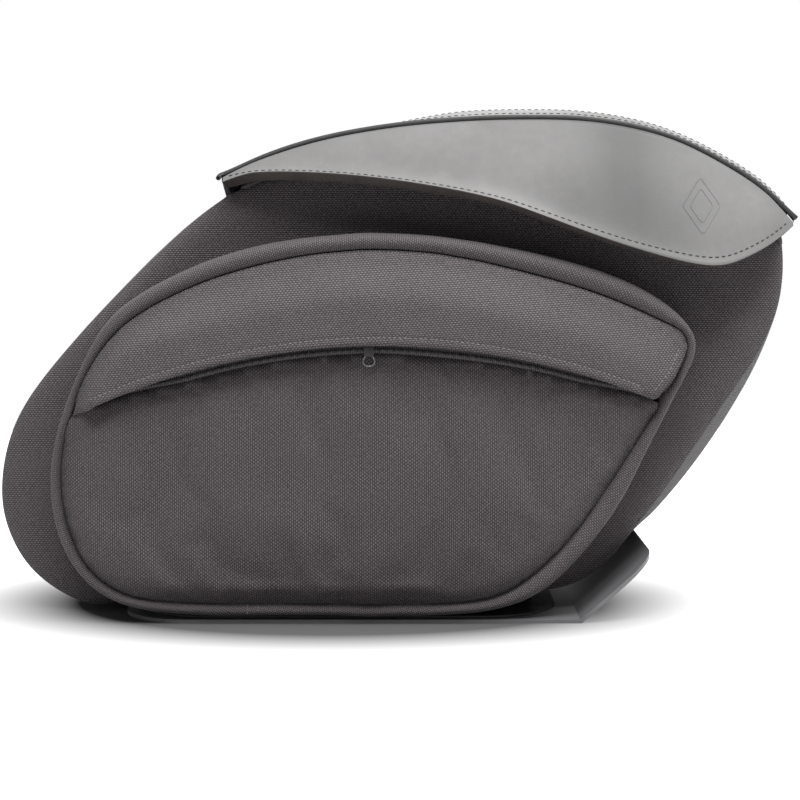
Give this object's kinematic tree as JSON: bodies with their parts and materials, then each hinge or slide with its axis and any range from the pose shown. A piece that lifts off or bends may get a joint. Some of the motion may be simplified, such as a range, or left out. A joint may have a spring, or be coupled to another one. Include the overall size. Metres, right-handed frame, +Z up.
{
  "type": "motorcycle saddlebag",
  "caption": "Motorcycle side bag of dark ballistic nylon with a hinged leather lid and an outer zipped pocket under a storm flap, bolted to a sheet-steel support bracket.",
  "frame": {"origin": "bottom centre of the bounding box", "axes": "+X towards the bag's high, pointed end; -Y towards the outer side with the pocket; +Z up"},
  "size_m": [0.5626, 0.1947, 0.3449],
  "materials": {
    "nylon": "dark grey ballistic nylon with a basket weave",
    "leather": "stiff grey-black bridle leather with a soft sheen",
    "raw_leather": "matt fibrous cut edge and flesh side",
    "thread": "bonded nylon thread",
    "webbing": "black woven tape",
    "piping": "smooth black leather cord",
    "black_metal": "black oxide, worn on its edges",
    "zinc_steel": "zinc plated",
    "bracket_paint": "satin black powder coat",
    "black_plastic": "fine-grained black ABS",
    "rubber": "matt black rubber"
  },
  "bodies": {
    "carcass": {"body_front_panel": "nylon", "body_gusset": "nylon", "rear_piping": "nylon", "pocket_gusset": "nylon", "pocket_front_panel": "nylon", "pocket_upper_panel": "nylon", "storm_flap": "nylon", "front_stiffener": "black_plastic", "back_panel": "black_plastic", "bottom_board": "black_plastic", "bottom_tray": "black_plastic", "catch_keeper_left": "black_plastic", "catch_keeper_right": "black_plastic", "rim_binding": "webbing", "zip_tape_upper": "webbing", "zip_tape_lower": "webbing", "zip_teeth_upper": "black_metal", "zip_teeth_lower": "black_metal", "bag_bolt_1": "black_metal", "bag_bolt_2": "black_metal", "bag_bolt_3": "black_metal", "bag_bolt_4": "black_metal", "hinge_strap": "leather", "hinge_rivet_1": "zinc_steel", "hinge_rivet_2": "zinc_steel", "hinge_rivet_3": "zinc_steel", "hinge_rivet_4": "zinc_steel", "washer_1": "zinc_steel", "washer_2": "zinc_steel", "washer_3": "zinc_steel", "washer_4": "zinc_steel", "lock_nut_1": "zinc_steel", "lock_nut_2": "zinc_steel", "lock_nut_3": "zinc_steel", "lock_nut_4": "zinc_steel", "support_bracket": "bracket_paint", "bottom_pad": "rubber", "rubber_spacer_1": "rubber", "rubber_spacer_2": "rubber", "rubber_spacer_3": "rubber", "rubber_spacer_4": "rubber"},
    "lid": {"lid_flap": "leather", "lid_top": "leather", "lid_stiffener": "black_plastic", "lid_piping": "piping", "lid_skirt": "leather", "catch_magnet_left": "black_plastic", "catch_magnet_right": "black_plastic", "catch_tab_left": "raw_leather", "catch_tab_right": "raw_leather"},
    "zip_slider": {"zip_slider": "black_metal"},
    "zip_puller": {"zip_puller": "black_metal"}
  },
  "joints": [
    {"name": "lid_hinge", "type": "hinge", "parent": "carcass", "child": "lid", "pos_m": [0.0685, 0.0863, 0.262], "axis": [-1, 0, 0], "range_deg": [0, 105]},
    {"name": "zip_run", "type": "hinge", "parent": "carcass", "child": "zip_slider", "pos_m": [-0.012, -0.0918, -0.274], "axis": [0, 1, 0], "range_deg": [-22, 22]},
    {"name": "puller_swing", "type": "hinge", "parent": "zip_slider", "child": "zip_puller", "pos_m": [-0.0205, -0.0944, 0.1855], "axis": [1, 0, 0], "range_deg": [-75, 8]}
  ]
}
